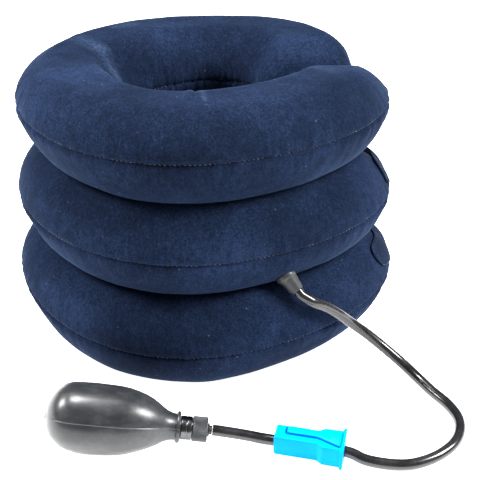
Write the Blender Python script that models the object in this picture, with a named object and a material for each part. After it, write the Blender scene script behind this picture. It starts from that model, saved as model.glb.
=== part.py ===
"""Inflatable cervical traction collar with its hand pump, as separate parts.

Metres, +Z up.  The collar stands on the plane Z = 0 around the neck axis, which is the Z axis.
+X runs towards the opening between the collar's two ends, and -Y towards the pump.
Run with: blender --background --python part.py
"""
import math

import bmesh
import bpy
from mathutils import Matrix, Vector

MM = 0.001
GAP = 0.3 * MM                  # room kept between touching meshes

# --- collar: three C-shaped air tubes stacked on each other -------------------------------
PLAN_RADIUS = 142 * MM          # neck axis to the outer seam
PLAN_POWER = 1.89               # 2 is a circle; a little less draws the diagonals in
PLAN_SKEW = 0.018
PLAN_RIPPLE = -0.013
TUBE_HALF_WIDTH = 41 * MM
CREST_FLATTENING = 1.06         # above 1, the crest is a flat band where tubes press together
COVER_THICKNESS = 1.2 * MM
BLADDER_INSET = 4.0 * MM
BLADDER_WALL = 0.6 * MM

OPENING_ANGLE = math.radians(12)        # where the C is open, seen from above
OPENING_WIDTH = 3 * MM
BACK_ARM_TUCK = 13 * MM                 # the back arm's end lies this much nearer the neck
TUCK_REACH = 110 * MM
INNER_SEAM_DROP = 8 * MM                # the seam at the neck is lower than the outer one
END_ROUNDING = 36 * MM
BACK_END_FALL = 36 * MM                 # how far from its end an arm reaches its full height
FRONT_END_FALL = 54 * MM
END_EDGE_SHARE = 0.35                   # share of the tube's width left at the very end
END_STEPS = (0.0, 3 * MM, 9 * MM, 20 * MM, 38 * MM)
MIDDLE_STEPS = 23
COVER_FACES = 7                  # faces across a panel; odd, so that one lies flat at the crest
BLADDER_FACES = 5

# Each tube lies between two planes that rise towards the front: height at the axis, and slope.
FLOOR = (0.0, 0.0)
LOWER_JOINT = (69.5 * MM, -0.075)
UPPER_JOINT = (141.5 * MM, -0.112)
CROWN = (210 * MM, -0.138)
TIERS = {
    "bottom": dict(low=FLOOR, seam=(36.0 * MM, -0.03), high=LOWER_JOINT,
                   stretch=(1.070, 1.02), shift_y=-5.0 * MM),
    "middle": dict(low=LOWER_JOINT, seam=(104.0 * MM, -0.100), high=UPPER_JOINT,
                   stretch=(1.035, 0.99), shift_y=-2.5 * MM),
    "top": dict(low=UPPER_JOINT, seam=(180 * MM, -0.124), high=CROWN,
                stretch=(0.995, 0.995), shift_y=0.0),
}

# --- air passages between tiers, at the back of the neck -----------------------------------
PASSAGE_ANGLE = math.radians(90)
PASSAGE_OUTER = 8 * MM
PASSAGE_BORE = 5 * MM
PASSAGE_FLANGE = 11 * MM
PASSAGE_HALF_LENGTH = 10 * MM
PASSAGE_FLANGE_START = 8.6 * MM
PASSAGE_HOLE_REACH = 14 * MM

# --- closure straps over the opening ---------------------------------------------------------
# start: from the back arm's end, below 0 on the front arm; centre: height, as a share of the
# tube's half height above its seam
STRAPS = {
    "bottom": dict(start=-60 * MM, length=120 * MM, centre=0.40),
    "middle": dict(start=-46 * MM, length=106 * MM, centre=0.40),
    "top": dict(start=-46 * MM, length=106 * MM, centre=-0.44),
}
STRAP_HALF_HEIGHT = 0.40        # share of the tube's half height
STRAP_STEPS = 16
STRAP_CROSSING = (-16 * MM, 12 * MM)    # where it bends in from one arm to the other
STRAP_BRIDGE = 20 * MM          # a strap bridges the arms' rounded ends over this length of each
PATCH_START = 10 * MM
PATCH_LENGTH = 60 * MM
PATCH_HALF_HEIGHT = 0.36
PATCH_STEPS = 8

# --- hose port on the middle tier's underside ---------------------------------------------
PORT_ANGLE = math.radians(-61.5)
PORT_ACROSS = 0.74
PORT_AXIS = Vector((0.62, -0.42, -0.66)).normalized()
RELIEF_LENGTH = 14 * MM
RELIEF_BASE = 7.9 * MM
RELIEF_TIP = 4.9 * MM
RELIEF_ROOT = 2.0 * MM          # how far its root reaches in through the cover
PORT_BORE = 2.5 * MM

# --- pump: everything turns around one axis, which points from the bulb's tail to the hose ----
PUMP_TAIL = Vector((-108.5, -195.5, 29.5)) * MM
PUMP_DIP = math.radians(7.4)
BULB_WALL = 2.2 * MM
# distance from the tail, radius
BULB_OUTLINE = ((2.5, 7.5), (5.0, 12.8), (9.0, 17.4), (16.0, 22.0), (25.0, 24.4), (36.0, 24.8),
                (47.0, 24.3), (57.0, 22.8), (66.0, 19.6), (74.0, 15.9), (81.0, 12.4),
                (87.0, 10.0), (92.6, 9.2), (93.0, 10.8), (95.2, 11.0), (95.8, 9.6))
BULB_TAIL_BORE = 3.6 * MM
BULB_NECK_BORE = 6.9 * MM
SLEEVE = (96.1 * MM, 104.0 * MM, 8.3 * MM)
KNOB = (104.4 * MM, 115.0 * MM, 8.8 * MM)
KNOB_BORE = 5.6 * MM
KNOB_FLUTES = 20
BARB = (115.3 * MM, 118.2 * MM, 3.2 * MM)
BALL_RADIUS = 2.4 * MM
OUTLET_BALL_AT = 85.0 * MM
INTAKE_BALL_AT = 6.2 * MM

# --- hose and its clamp ------------------------------------------------------------------------
HOSE_RADIUS = 4.0 * MM
HOSE_SPACING = 14 * MM
HOSE_STRAIGHT = 4 * MM          # straight run on a fitting at either end
CLAMP_LEFT = Vector((52.6, -198.0, 7.0)) * MM       # hose axis where it enters the clamp
CLAMP_RIGHT = Vector((101.4, -208.9, 7.0)) * MM
CLAMP_LENGTH = 50 * MM
CLAMP_HEIGHT = 16.6 * MM
CLAMP_HALF_WIDTH = 7 * MM
CLAMP_FLARED_HALF_WIDTH = 10 * MM
CLAMP_WALL = 1.6 * MM
CLAMP_FLARE = (31 * MM, 35 * MM)
CLAMP_SOLID_END = 17 * MM
CLAMP_CAVITY_TOP = 14.6 * MM
FLANGE = dict(thickness=2.0 * MM, half_width=12 * MM, height=17.4 * MM)
CLAMP_BORE = 4.45 * MM
LEVER_START = 9 * MM            # rear of the barrel around its pin
LEVER_END = 47.4 * MM
LEVER_Z = (15.0 * MM, 17.6 * MM)
LEVER_BACK = 5.2 * MM
LEVER_FRONT = -1.4 * MM
LEVER_PAD_HALF_WIDTH = 7.4 * MM
LEVER_CLEARANCE = 0.4 * MM
RECESS_FLOOR = 14.3 * MM
PIN_AT = (10.15 * MM, 15.7 * MM)
PIN_RADIUS = 0.9 * MM
PIN_REACH = 1.3 * MM
BARREL_RADIUS = 1.15 * MM
RIB = dict(x=(25 * MM, 28 * MM), y=(-1.2 * MM, 4.0 * MM), z=11.4 * MM)
# hose axis between the port and the clamp: over the bottom tier, down to the floor and back
ROUTE_DOWN = ((82.0, -120.6, 70.3), (92.5, -116.0, 62.0), (102.5, -112.0, 52.5), (113.0, -108.5, 41.0),
              (126.0, -108.0, 29.5), (140.5, -112.0, 18.0), (152.5, -119.0, 10.2),
              (162.8, -129.8, 5.8), (172.0, -143.5, 4.3), (182.0, -158.5, 4.2), (187.2, -173.0, 4.2),
              (185.8, -187.0, 4.2), (179.0, -199.5, 4.2), (167.2, -209.8, 4.2), (155.0, -216.0, 4.2),
              (143.0, -218.8, 4.2), (129.0, -217.8, 4.2), (115.0, -214.4, 4.9))
ROUTE_PUMP = ((42.0, -196.2, 7.6), (31.0, -195.9, 10.2))

COLOURS = {
    "velour": ((0.018, 0.035, 0.095), 0.95, 0.0),
    "strap": ((0.010, 0.012, 0.020), 0.9, 0.0),
    "bladder_film": ((0.55, 0.56, 0.58), 0.45, 0.0),
    "port_rubber": ((0.06, 0.065, 0.07), 0.55, 0.0),
    "fitting_plastic": ((0.75, 0.76, 0.78), 0.35, 0.0),
    "hose_rubber": ((0.012, 0.012, 0.014), 0.25, 0.0),
    "bulb_rubber": ((0.10, 0.11, 0.115), 0.6, 0.0),
    "valve_metal": ((0.50, 0.52, 0.54), 0.3, 1.0),
    "dark_plastic": ((0.02, 0.02, 0.02), 0.4, 0.0),
    "clamp_plastic": ((0.0, 0.62, 1.0), 0.3, 0.0),
}


# --- general helpers ---------------------------------------------------------------------------
def clear_scene():
    for old in list(bpy.data.objects):
        bpy.data.objects.remove(old, do_unlink=True)


def material(slot):
    """The Principled material of a slot, made once."""
    if slot in bpy.data.materials:
        return bpy.data.materials[slot]
    colour, roughness, metallic = COLOURS[slot]
    made = bpy.data.materials.new(slot)
    made.use_nodes = True
    shader = made.node_tree.nodes["Principled BSDF"]
    shader.inputs["Base Color"].default_value = (*colour, 1.0)
    shader.inputs["Roughness"].default_value = roughness
    shader.inputs["Metallic"].default_value = metallic
    return made


def add_object(name, data, slot=None):
    made = bpy.data.objects.new(name, data)
    bpy.context.scene.collection.objects.link(made)
    if slot:
        data.materials.append(material(slot))
    return made


def mesh_object(name, bm, slot=None, smooth_angle=math.radians(35)):
    """Turn a bmesh into a named object, smooth except at its sharp edges."""
    mesh = bpy.data.meshes.new(name)
    bm.to_mesh(mesh)
    bm.free()
    mesh.shade_smooth()
    mesh.set_sharp_from_angle(angle=smooth_angle)
    return add_object(name, mesh, slot)


def cut(target, cutter):
    """Subtract a hidden cutter from a piece."""
    cutter.hide_render = True
    cutter.display_type = "WIRE"
    modifier = target.modifiers.new("cut_" + cutter.name, "BOOLEAN")
    modifier.operation = "DIFFERENCE"
    modifier.solver = "EXACT"
    modifier.object = cutter


def join(target, addition):
    """Unite a hidden helper solid with a piece."""
    addition.hide_render = True
    addition.display_type = "WIRE"
    modifier = target.modifiers.new("join_" + addition.name, "BOOLEAN")
    modifier.operation = "UNION"
    modifier.solver = "EXACT"
    modifier.object = addition


def axis_frame(origin, direction, up=Vector((0, 0, 1))):
    """Matrix whose X axis runs along a direction and whose Z axis leans towards up."""
    x_axis = direction.normalized()
    y_axis = up.cross(x_axis).normalized()
    z_axis = x_axis.cross(y_axis)
    turn = Matrix((x_axis, y_axis, z_axis)).transposed().to_4x4()
    return Matrix.Translation(origin) @ turn


def guide(name, matrix):
    """An empty that carries the pieces that share its axes."""
    made = bpy.data.objects.new(name, None)
    made.matrix_world = matrix
    bpy.context.scene.collection.objects.link(made)
    return made


def hang(piece, parent, offset=(0, 0, 0)):
    piece.parent = parent
    piece.location = offset


def turned(name, profile, slot=None, steps=24, wave=None):
    """Turn a closed profile of (distance along X, radius) around the X axis."""
    bm = bmesh.new()
    verts = [bm.verts.new((along, 0, radius)) for along, radius in profile]
    edges = [bm.edges.new((vert, verts[i - 1])) for i, vert in enumerate(verts)]
    bmesh.ops.spin(bm, geom=verts + edges, cent=(0, 0, 0), axis=(1, 0, 0),
                   angle=2 * math.pi, steps=steps, use_merge=True)
    bmesh.ops.remove_doubles(bm, verts=bm.verts, dist=1e-6)
    if wave:
        for vert in bm.verts:
            wave(vert)
    bmesh.ops.recalc_face_normals(bm, faces=bm.faces)
    return mesh_object(name, bm, slot)


def rod(name, radius, start, end, slot=None, steps=24):
    """A plain cylinder between two points."""
    start, end = Vector(start), Vector(end)
    bm = bmesh.new()
    bmesh.ops.create_cone(bm, cap_ends=True, segments=steps, radius1=radius, radius2=radius,
                          depth=(end - start).length)
    turn = Vector((0, 0, 1)).rotation_difference(end - start).to_matrix().to_4x4()
    bmesh.ops.transform(bm, matrix=Matrix.Translation((start + end) / 2) @ turn, verts=bm.verts)
    return mesh_object(name, bm, slot)


def slab(name, outline, z_low, z_high, slot=None):
    """Extrude a plan outline, given anticlockwise, between two heights."""
    bm = bmesh.new()
    base = bm.faces.new([bm.verts.new((x, y, z_low)) for x, y in outline])
    raised = bmesh.ops.extrude_face_region(bm, geom=[base])["geom"]
    bmesh.ops.translate(bm, vec=(0, 0, z_high - z_low),
                        verts=[item for item in raised if isinstance(item, bmesh.types.BMVert)])
    bmesh.ops.recalc_face_normals(bm, faces=bm.faces)
    return mesh_object(name, bm, slot, smooth_angle=math.radians(20))


# --- the collar's shape --------------------------------------------------------------------------
def plan_radius(angle):
    """Distance from the neck axis to the outer seam, before a tier's own stretch."""
    round_part = (abs(math.cos(angle)) ** PLAN_POWER + abs(math.sin(angle)) ** PLAN_POWER)
    wave = 1 + PLAN_SKEW * math.sin(2 * angle) + PLAN_RIPPLE * math.sin(4 * angle)
    return PLAN_RADIUS * wave * round_part ** (-1 / PLAN_POWER)


def centre_radius(angle):
    return plan_radius(angle) - TUBE_HALF_WIDTH


def arm_length():
    """Length of the C along the middle of the tube, end to end."""
    mean = sum(centre_radius(math.radians(step)) for step in range(360)) / 360
    return 2 * math.pi * mean - OPENING_WIDTH


def arm_angle(along):
    """Angle around the neck axis at a distance along the C, from the back arm's end."""
    turn = 2 * math.pi * along / (arm_length() + OPENING_WIDTH)
    half_opening = math.pi * OPENING_WIDTH / (arm_length() + OPENING_WIDTH)
    return OPENING_ANGLE + half_opening + turn


def crest_profile(across):
    """Height of the tube's section, from 0 at its seams to 1 at its crest."""
    return min(1.0, CREST_FLATTENING * math.sqrt(max(0.0, 1 - abs(across) ** 2.2)))


def rounding(distance, reach, power):
    """From 0 at an end to 1 at a distance of reach from it."""
    left = min(1.0, max(0.0, 1 - distance / reach))
    return (1 - left ** power) ** (1 / power)


def plane_height(plane, y):
    return plane[0] + plane[1] * y


def crossed_share(along):
    """0 where a strap lies on the front arm, 1 where it lies on the back arm."""
    start, end = STRAP_CROSSING
    crossed = min(1.0, max(0.0, (along - start) / (end - start)))
    return crossed * crossed * (3 - 2 * crossed)


def back_arm_tuck(along):
    """How much nearer the neck the back arm lies."""
    return BACK_ARM_TUCK * max(0.0, 1 - along / TUCK_REACH) ** 2


def tier_point(tier, along, across, side, inset=0.0, closed_ends=True):
    """A point of a tier's skin.

    along runs from the back arm's end to the front arm's, across from -1 at the neck to 1 at
    the outer seam, side is 1 for the upper panel and -1 for the lower, and inset is the
    distance in from the outer face. Without its closed ends the tube runs on across the opening,
    as a strap does.
    """
    shape = TIERS[tier]
    angle = arm_angle(along)
    if closed_ends:
        from_end = min(along, arm_length() - along) - inset
        fall = BACK_END_FALL if along < arm_length() / 2 else FRONT_END_FALL
        tuck = back_arm_tuck(along)
    else:
        from_end = max(along, -along - OPENING_WIDTH, STRAP_BRIDGE)
        share = crossed_share(along)
        fall = BACK_END_FALL * share + FRONT_END_FALL * (1 - share)
        tuck = back_arm_tuck(along) * share
    width_share = END_EDGE_SHARE + (1 - END_EDGE_SHARE) * rounding(from_end, END_ROUNDING, 2.3)
    half_width = (TUBE_HALF_WIDTH - inset) * width_share
    radius = centre_radius(angle) - tuck + across * half_width
    x = shape["stretch"][0] * radius * math.cos(angle)
    y = shape["stretch"][1] * radius * math.sin(angle) + shape["shift_y"]
    seam = plane_height(shape["seam"], y) - INNER_SEAM_DROP * (1 - across) / 2
    crest = plane_height(shape["high" if side > 0 else "low"], y)
    height = abs(crest - seam) - GAP - inset
    lift = height * crest_profile(across) * rounding(from_end, fall, 2.0)
    return Vector((x, y, seam + side * (GAP / 2 + lift)))


def ring_places(inset):
    """Distances along the C at which the tube is drawn, closer together near its ends."""
    length = arm_length()
    first = [inset + step for step in END_STEPS]
    last = [length - place for place in reversed(first)]
    run = last[0] - first[-1]
    middle = [first[-1] + run * step / MIDDLE_STEPS for step in range(1, MIDDLE_STEPS)]
    return first + middle + last


def across_places(count):
    return [math.sin(math.pi * (step / count - 0.5)) for step in range(count + 1)]


def skin_grid(bm, tier, side, inset, count):
    """Rows of vertices over one panel."""
    rows = []
    for along in ring_places(inset):
        row = [bm.verts.new(tier_point(tier, along, across, side, inset))
               for across in across_places(count)]
        rows.append(row)
    return rows


def skin_faces(bm, rows, outward):
    for row, following in zip(rows, rows[1:]):
        for step in range(len(row) - 1):
            corners = [row[step], row[step + 1], following[step + 1], following[step]]
            bm.faces.new(corners if outward else corners[::-1])


def rim(rows):
    """The vertices round the edge of a grid, in order."""
    first, last = rows[0], rows[-1]
    outer = [row[-1] for row in rows[1:-1]]
    inner = [row[0] for row in rows[-2:0:-1]]
    return first + outer + last[::-1] + inner


def bridge(bm, loop, other, flip):
    for step, vert in enumerate(loop):
        corners = [vert, loop[step - 1], other[step - 1], other[step]]
        bm.faces.new(corners[::-1] if flip else corners)


def cover_panel(tier, side):
    """One velour panel: a trough whose rim lies in the plane of the seam."""
    bm = bmesh.new()
    outer = skin_grid(bm, tier, side, 0.0, COVER_FACES)
    inner = skin_grid(bm, tier, side, COVER_THICKNESS, COVER_FACES)
    skin_faces(bm, outer, side > 0)
    skin_faces(bm, inner, side < 0)
    bridge(bm, rim(outer), rim(inner), side < 0)
    name = f"{tier}_cover_{'upper' if side > 0 else 'lower'}"
    return mesh_object(name, bm, "velour")


def bladder_skin(bm, tier, inset, outward):
    """A closed bladder surface: an upper and a lower grid that meet along the seam."""
    upper = skin_grid(bm, tier, 1, inset, BLADDER_FACES)
    lower = skin_grid(bm, tier, -1, inset, BLADDER_FACES)
    skin_faces(bm, upper, outward)
    skin_faces(bm, lower, not outward)
    bridge(bm, rim(upper), rim(lower), not outward)


def bladder(tier):
    bm = bmesh.new()
    bladder_skin(bm, tier, BLADDER_INSET, True)
    bladder_skin(bm, tier, BLADDER_INSET + BLADDER_WALL, False)
    return mesh_object(f"{tier}_bladder", bm, "bladder_film")


def air_passage(name, joint_plane, neighbours):
    """A flanged spool through the skins of two tiers, and the holes that it passes through."""
    y = centre_radius(PASSAGE_ANGLE) + TIERS["middle"]["shift_y"]
    centre = Vector((0, y, plane_height(joint_plane, y)))
    normal = Vector((0, -joint_plane[1], 1)).normalized()
    flange, length, start = PASSAGE_FLANGE, PASSAGE_HALF_LENGTH, PASSAGE_FLANGE_START
    profile = ((-length, PASSAGE_BORE), (-length, flange), (-start, flange), (-start, PASSAGE_OUTER),
               (start, PASSAGE_OUTER), (start, flange), (length, flange), (length, PASSAGE_BORE))
    spool = turned(name, profile, "fitting_plastic")
    spool.matrix_world = axis_frame(centre, normal, up=Vector((1, 0, 0)))
    reach = normal * PASSAGE_HOLE_REACH
    hole = rod(name + "_hole", PASSAGE_OUTER + 0.5 * MM, centre - reach, centre + reach)
    for piece in neighbours:
        cut(piece, hole)


def wrapped_tape(name, tier, start, length, columns, half_height, inset, thickness):
    """A strip that follows the outside of the tube, at the height of the tier's strap."""
    bm = bmesh.new()
    rows_each = 6
    centre = STRAPS[tier]["centre"]

    def face_rows(depth):
        rows = []
        for column in range(columns + 1):
            along = start + length * column / columns
            row = []
            for step in range(-rows_each // 2, rows_each // 2 + 1):
                share = centre + half_height * 2 * step / rows_each
                across = (1 - (abs(share) / CREST_FLATTENING) ** 2) ** (1 / 2.2)
                side = 1 if share >= 0 else -1
                point = tier_point(tier, along, across, side, depth, closed_ends=False)
                row.append(bm.verts.new(point))
            rows.append(row)
        return rows

    inner = face_rows(inset)
    outer = face_rows(inset - thickness)
    skin_faces(bm, inner, True)
    skin_faces(bm, outer, False)
    bridge(bm, rim(inner), rim(outer), False)
    bmesh.ops.recalc_face_normals(bm, faces=bm.faces)
    return mesh_object(name, bm, "strap")


def build_collar():
    covers, bladders = {}, {}
    for tier in TIERS:
        for side in (-1, 1):
            covers[tier, side] = cover_panel(tier, side)
        bladders[tier] = bladder(tier)
        wrapped_tape(f"{tier}_loop_patch", tier, PATCH_START, PATCH_LENGTH, PATCH_STEPS,
                     PATCH_HALF_HEIGHT, -0.5 * MM, 0.9 * MM)
        wrapped_tape(f"{tier}_closure_strap", tier, STRAPS[tier]["start"], STRAPS[tier]["length"],
                     STRAP_STEPS, STRAP_HALF_HEIGHT, -2.2 * MM, 1.2 * MM)
    air_passage("lower_air_passage", LOWER_JOINT,
                (covers["bottom", 1], covers["middle", -1], bladders["bottom"], bladders["middle"]))
    air_passage("upper_air_passage", UPPER_JOINT,
                (covers["middle", 1], covers["top", -1], bladders["middle"], bladders["top"]))
    return covers, bladders


# --- the hose port --------------------------------------------------------------------------------
def port_point():
    """Where the port's axis leaves the middle tier's lower panel."""
    along = arm_length() * ((PORT_ANGLE - arm_angle(0)) % (2 * math.pi)) / (2 * math.pi)
    return tier_point("middle", along, PORT_ACROSS, -1)


def build_port(covers, bladders):
    frame = guide("port_axis", axis_frame(port_point(), PORT_AXIS))
    relief_bore = PORT_BORE + 1.1 * MM
    relief = turned("strain_relief", (
        (-RELIEF_ROOT, relief_bore), (-RELIEF_ROOT, RELIEF_BASE), (1.6 * MM, RELIEF_BASE),
        (2.6 * MM, RELIEF_BASE - 1.1 * MM), (RELIEF_LENGTH - 1.5 * MM, RELIEF_TIP + 0.2 * MM),
        (RELIEF_LENGTH, RELIEF_TIP), (RELIEF_LENGTH, relief_bore)), "port_rubber")
    hang(relief, frame)
    connector_tip = RELIEF_LENGTH - 1 * MM
    disc = (-14.5 * MM, -13.0 * MM, 6.5 * MM)
    connector = turned("port_connector", (
        (disc[0], PORT_BORE - 1 * MM), (disc[0], disc[2]), (disc[1], disc[2]),
        (disc[1], PORT_BORE + 0.6 * MM), (connector_tip, PORT_BORE + 0.6 * MM),
        (connector_tip, PORT_BORE - 1 * MM)), "fitting_plastic")
    hang(connector, frame)
    start = port_point() - PORT_AXIS * 7 * MM
    end = port_point() + PORT_AXIS * 12 * MM
    cut(covers["middle", -1], rod("port_hole", RELIEF_BASE + 0.4 * MM, start, end))
    start = port_point() - PORT_AXIS * 12 * MM
    end = port_point() - PORT_AXIS * 0.5 * MM
    cut(bladders["middle"], rod("nipple_hole", PORT_BORE + 1.2 * MM, start, end, steps=12))


# --- the pump ----------------------------------------------------------------------------------------
def ball(name, distance, parent):
    bm = bmesh.new()
    bmesh.ops.create_icosphere(bm, subdivisions=2, radius=BALL_RADIUS)
    piece = mesh_object(name, bm, "valve_metal", smooth_angle=math.pi)
    hang(piece, parent, (distance, 0, 0))


def bulb_profile():
    outer = [(along * MM, radius * MM) for along, radius in BULB_OUTLINE]
    tail, mouth = outer[0], outer[-1]
    inner = [(mouth[0], BULB_NECK_BORE), (84 * MM, BULB_NECK_BORE)]
    inner += [(along, radius - BULB_WALL) for along, radius in outer[10:2:-1]]
    inner.append((tail[0] + 4.5 * MM, BULB_TAIL_BORE + 6 * MM))
    inner += [(tail[0] + 4 * MM, BULB_TAIL_BORE), (tail[0], BULB_TAIL_BORE)]
    return outer + inner


def build_pump():
    direction = Vector((math.cos(PUMP_DIP), 0, -math.sin(PUMP_DIP)))
    frame = guide("pump_axis", axis_frame(PUMP_TAIL, direction))
    hang(turned("bulb", bulb_profile(), "bulb_rubber"), frame)

    seat = BULB_TAIL_BORE - 0.4 * MM
    intake = turned("intake_valve_body", (
        (0.2 * MM, 0.9 * MM), (0.2 * MM, 2.6 * MM), (1.0 * MM, 4.4 * MM), (2.2 * MM, 4.6 * MM),
        (2.2 * MM, seat), (7.0 * MM, seat), (7.0 * MM, 4.4 * MM), (8.4 * MM, 4.0 * MM),
        (10.4 * MM, 3.6 * MM), (10.4 * MM, 1.4 * MM), (9.6 * MM, 1.4 * MM), (9.6 * MM, 2.75 * MM),
        (3.6 * MM, 2.75 * MM), (2.6 * MM, 0.9 * MM)), "fitting_plastic", steps=16)
    hang(intake, frame)
    ball("intake_valve_ball", INTAKE_BALL_AT, frame)

    body = turned("valve_body", (
        (80.5 * MM, 1.6 * MM), (80.5 * MM, 5.6 * MM), (82.5 * MM, 6.5 * MM), (SLEEVE[0], 6.5 * MM),
        (SLEEVE[0], SLEEVE[2]), (SLEEVE[1], SLEEVE[2]), (SLEEVE[1], 5.2 * MM),
        (106.2 * MM, 5.2 * MM), (106.2 * MM, 4.4 * MM), (107.8 * MM, 4.4 * MM),
        (107.8 * MM, 5.2 * MM), (114.9 * MM, 5.2 * MM), (114.9 * MM, 1.5 * MM), (90.5 * MM, 1.5 * MM),
        (89.5 * MM, 2.9 * MM), (83.5 * MM, 2.9 * MM), (81.8 * MM, 1.6 * MM)), "valve_metal")
    hang(body, frame)
    ball("outlet_valve_ball", OUTLET_BALL_AT, frame)

    ring = [(107.0 * MM + 0.45 * MM * math.cos(turn), 4.95 * MM + 0.4 * MM * math.sin(turn))
            for turn in (2 * math.pi * step / 6 for step in range(6))]
    hang(turned("release_seal", ring, "dark_plastic"), frame)

    def flute(vert):
        spoke = math.hypot(vert.co.y, vert.co.z)
        if spoke > KNOB[2] - 0.5 * MM:
            step = round(KNOB_FLUTES * 2 * math.atan2(vert.co.z, vert.co.y) / (2 * math.pi))
            if step % 2:
                vert.co.y *= 1 - 0.25 * MM / spoke
                vert.co.z *= 1 - 0.25 * MM / spoke

    knob = turned("release_knob", (
        (KNOB[0], KNOB_BORE), (KNOB[0], 8.0 * MM), (KNOB[0] + 0.6 * MM, KNOB[2]),
        (KNOB[1] - 0.6 * MM, KNOB[2]), (KNOB[1], 8.1 * MM), (KNOB[1], KNOB_BORE)),
        "valve_metal", steps=2 * KNOB_FLUTES, wave=flute)
    hang(knob, frame)

    barb = turned("hose_barb", (
        (BARB[0], 1.4 * MM), (BARB[0], 4.6 * MM), (BARB[0] + 1.0 * MM, 4.6 * MM),
        (BARB[0] + 1.2 * MM, BARB[2]), (BARB[1], BARB[2]), (BARB[1], 1.4 * MM)),
        "dark_plastic", steps=16)
    hang(barb, frame)
    return frame


# --- the clamp on the hose ------------------------------------------------------------------------------
def lever_outline(start, grow):
    end = LEVER_END + grow
    front, back = LEVER_FRONT - grow, LEVER_BACK + grow
    pad = LEVER_PAD_HALF_WIDTH + grow
    return ((start, front), (CLAMP_FLARE[0], front), (end, -pad), (end, pad),
            (CLAMP_FLARE[1], back), (start, back))


def clamp_outline(inset):
    narrow, wide = CLAMP_HALF_WIDTH - inset, CLAMP_FLARED_HALF_WIDTH - inset
    start, end = inset, CLAMP_LENGTH - FLANGE["thickness"] + 0.5 * MM
    bend, flare = CLAMP_FLARE
    return ((start, -narrow), (bend, -narrow), (flare, -wide), (end, -wide),
            (end, wide), (flare, wide), (bend, narrow), (start, narrow))


def clamp_cavity():
    wide = CLAMP_FLARED_HALF_WIDTH - CLAMP_WALL
    narrow = CLAMP_HALF_WIDTH - CLAMP_WALL
    bend, flare = CLAMP_FLARE
    end = CLAMP_LENGTH - FLANGE["thickness"]
    return ((CLAMP_SOLID_END, -narrow), (bend, -narrow), (flare, -wide), (end, -wide),
            (end, wide), (flare, wide), (bend, narrow), (CLAMP_SOLID_END, narrow))


def build_clamp():
    floor_point = Vector((CLAMP_LEFT.x, CLAMP_LEFT.y, 0.15 * MM))
    direction = CLAMP_RIGHT - CLAMP_LEFT
    frame = guide("clamp_axis", axis_frame(floor_point, direction))
    axis_height = CLAMP_LEFT.z - floor_point.z
    body = slab("clamp_body", clamp_outline(0), 0, CLAMP_HEIGHT, "clamp_plastic")
    half = FLANGE["half_width"]
    plate = slab("clamp_end_plate", (
        (CLAMP_LENGTH - FLANGE["thickness"], -half), (CLAMP_LENGTH, -half), (CLAMP_LENGTH, half),
        (CLAMP_LENGTH - FLANGE["thickness"], half)), 0, FLANGE["height"])
    cavity = slab("clamp_cavity", clamp_cavity(), CLAMP_WALL, CLAMP_CAVITY_TOP)
    recess = slab("clamp_recess", lever_outline(LEVER_START - LEVER_CLEARANCE, LEVER_CLEARANCE),
                  RECESS_FLOOR, CLAMP_HEIGHT + 1 * MM)
    bore = rod("clamp_bore", CLAMP_BORE, (-1 * MM, 0, axis_height),
               (CLAMP_LENGTH + 1 * MM, 0, axis_height))
    journal = rod("clamp_journal", PIN_RADIUS + 0.3 * MM,
                  (PIN_AT[0], LEVER_FRONT - PIN_REACH - 0.4 * MM, PIN_AT[1]),
                  (PIN_AT[0], LEVER_BACK + PIN_REACH + 0.3 * MM, PIN_AT[1]), steps=16)
    join(body, plate)
    for cutter in (cavity, recess, bore, journal):
        cut(body, cutter)

    lever = slab("clamp_lever", lever_outline(PIN_AT[0], 0), LEVER_Z[0], LEVER_Z[1],
                 "clamp_plastic")
    barrel = rod("lever_barrel", BARREL_RADIUS, (PIN_AT[0], LEVER_FRONT, PIN_AT[1]),
                 (PIN_AT[0], LEVER_BACK, PIN_AT[1]), steps=24)
    pin = rod("lever_pin", PIN_RADIUS, (PIN_AT[0], LEVER_FRONT - PIN_REACH, PIN_AT[1]),
              (PIN_AT[0], LEVER_BACK + PIN_REACH, PIN_AT[1]), steps=16)
    (x_low, x_high), (y_low, y_high) = RIB["x"], RIB["y"]
    rib = slab("lever_rib", ((x_low, y_low), (x_high, y_low), (x_high, y_high), (x_low, y_high)),
               RIB["z"], LEVER_Z[0] + 0.5 * MM)
    for addition in (barrel, pin, rib):
        join(lever, addition)

    for piece in (body, plate, cavity, recess, bore, journal, barrel, pin, rib):
        hang(piece, frame)
    hinge = guide("clamp_hinge", Matrix.Identity(4))
    hang(hinge, frame, (PIN_AT[0], 0, PIN_AT[1]))
    hang(lever, hinge, (-PIN_AT[0], 0, -PIN_AT[1]))


# --- the hose ----------------------------------------------------------------------------------------------
def smooth_path(points, spacing):
    """Points at even spacing on a Catmull-Rom curve through the given points."""
    ends = [2 * points[0] - points[1], *points, 2 * points[-1] - points[-2]]
    fine = []
    for a, b, c, d in zip(ends, ends[1:], ends[2:], ends[3:]):
        for step in range(12):
            t = step / 12
            fine.append(0.5 * (2 * b + (c - a) * t + (2 * a - 5 * b + 4 * c - d) * t * t
                               + (3 * b - a - 3 * c + d) * t ** 3))
    fine.append(points[-1])
    total = sum((q - p).length for p, q in zip(fine, fine[1:]))
    count = round(total / spacing)
    path, travelled, wanted = [fine[0]], 0.0, total / count
    for p, q in zip(fine, fine[1:]):
        step = (q - p).length
        while len(path) < count and travelled + step >= wanted * len(path):
            path.append(p.lerp(q, (wanted * len(path) - travelled) / step))
        travelled += step
    path.append(fine[-1])
    return path


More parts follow.
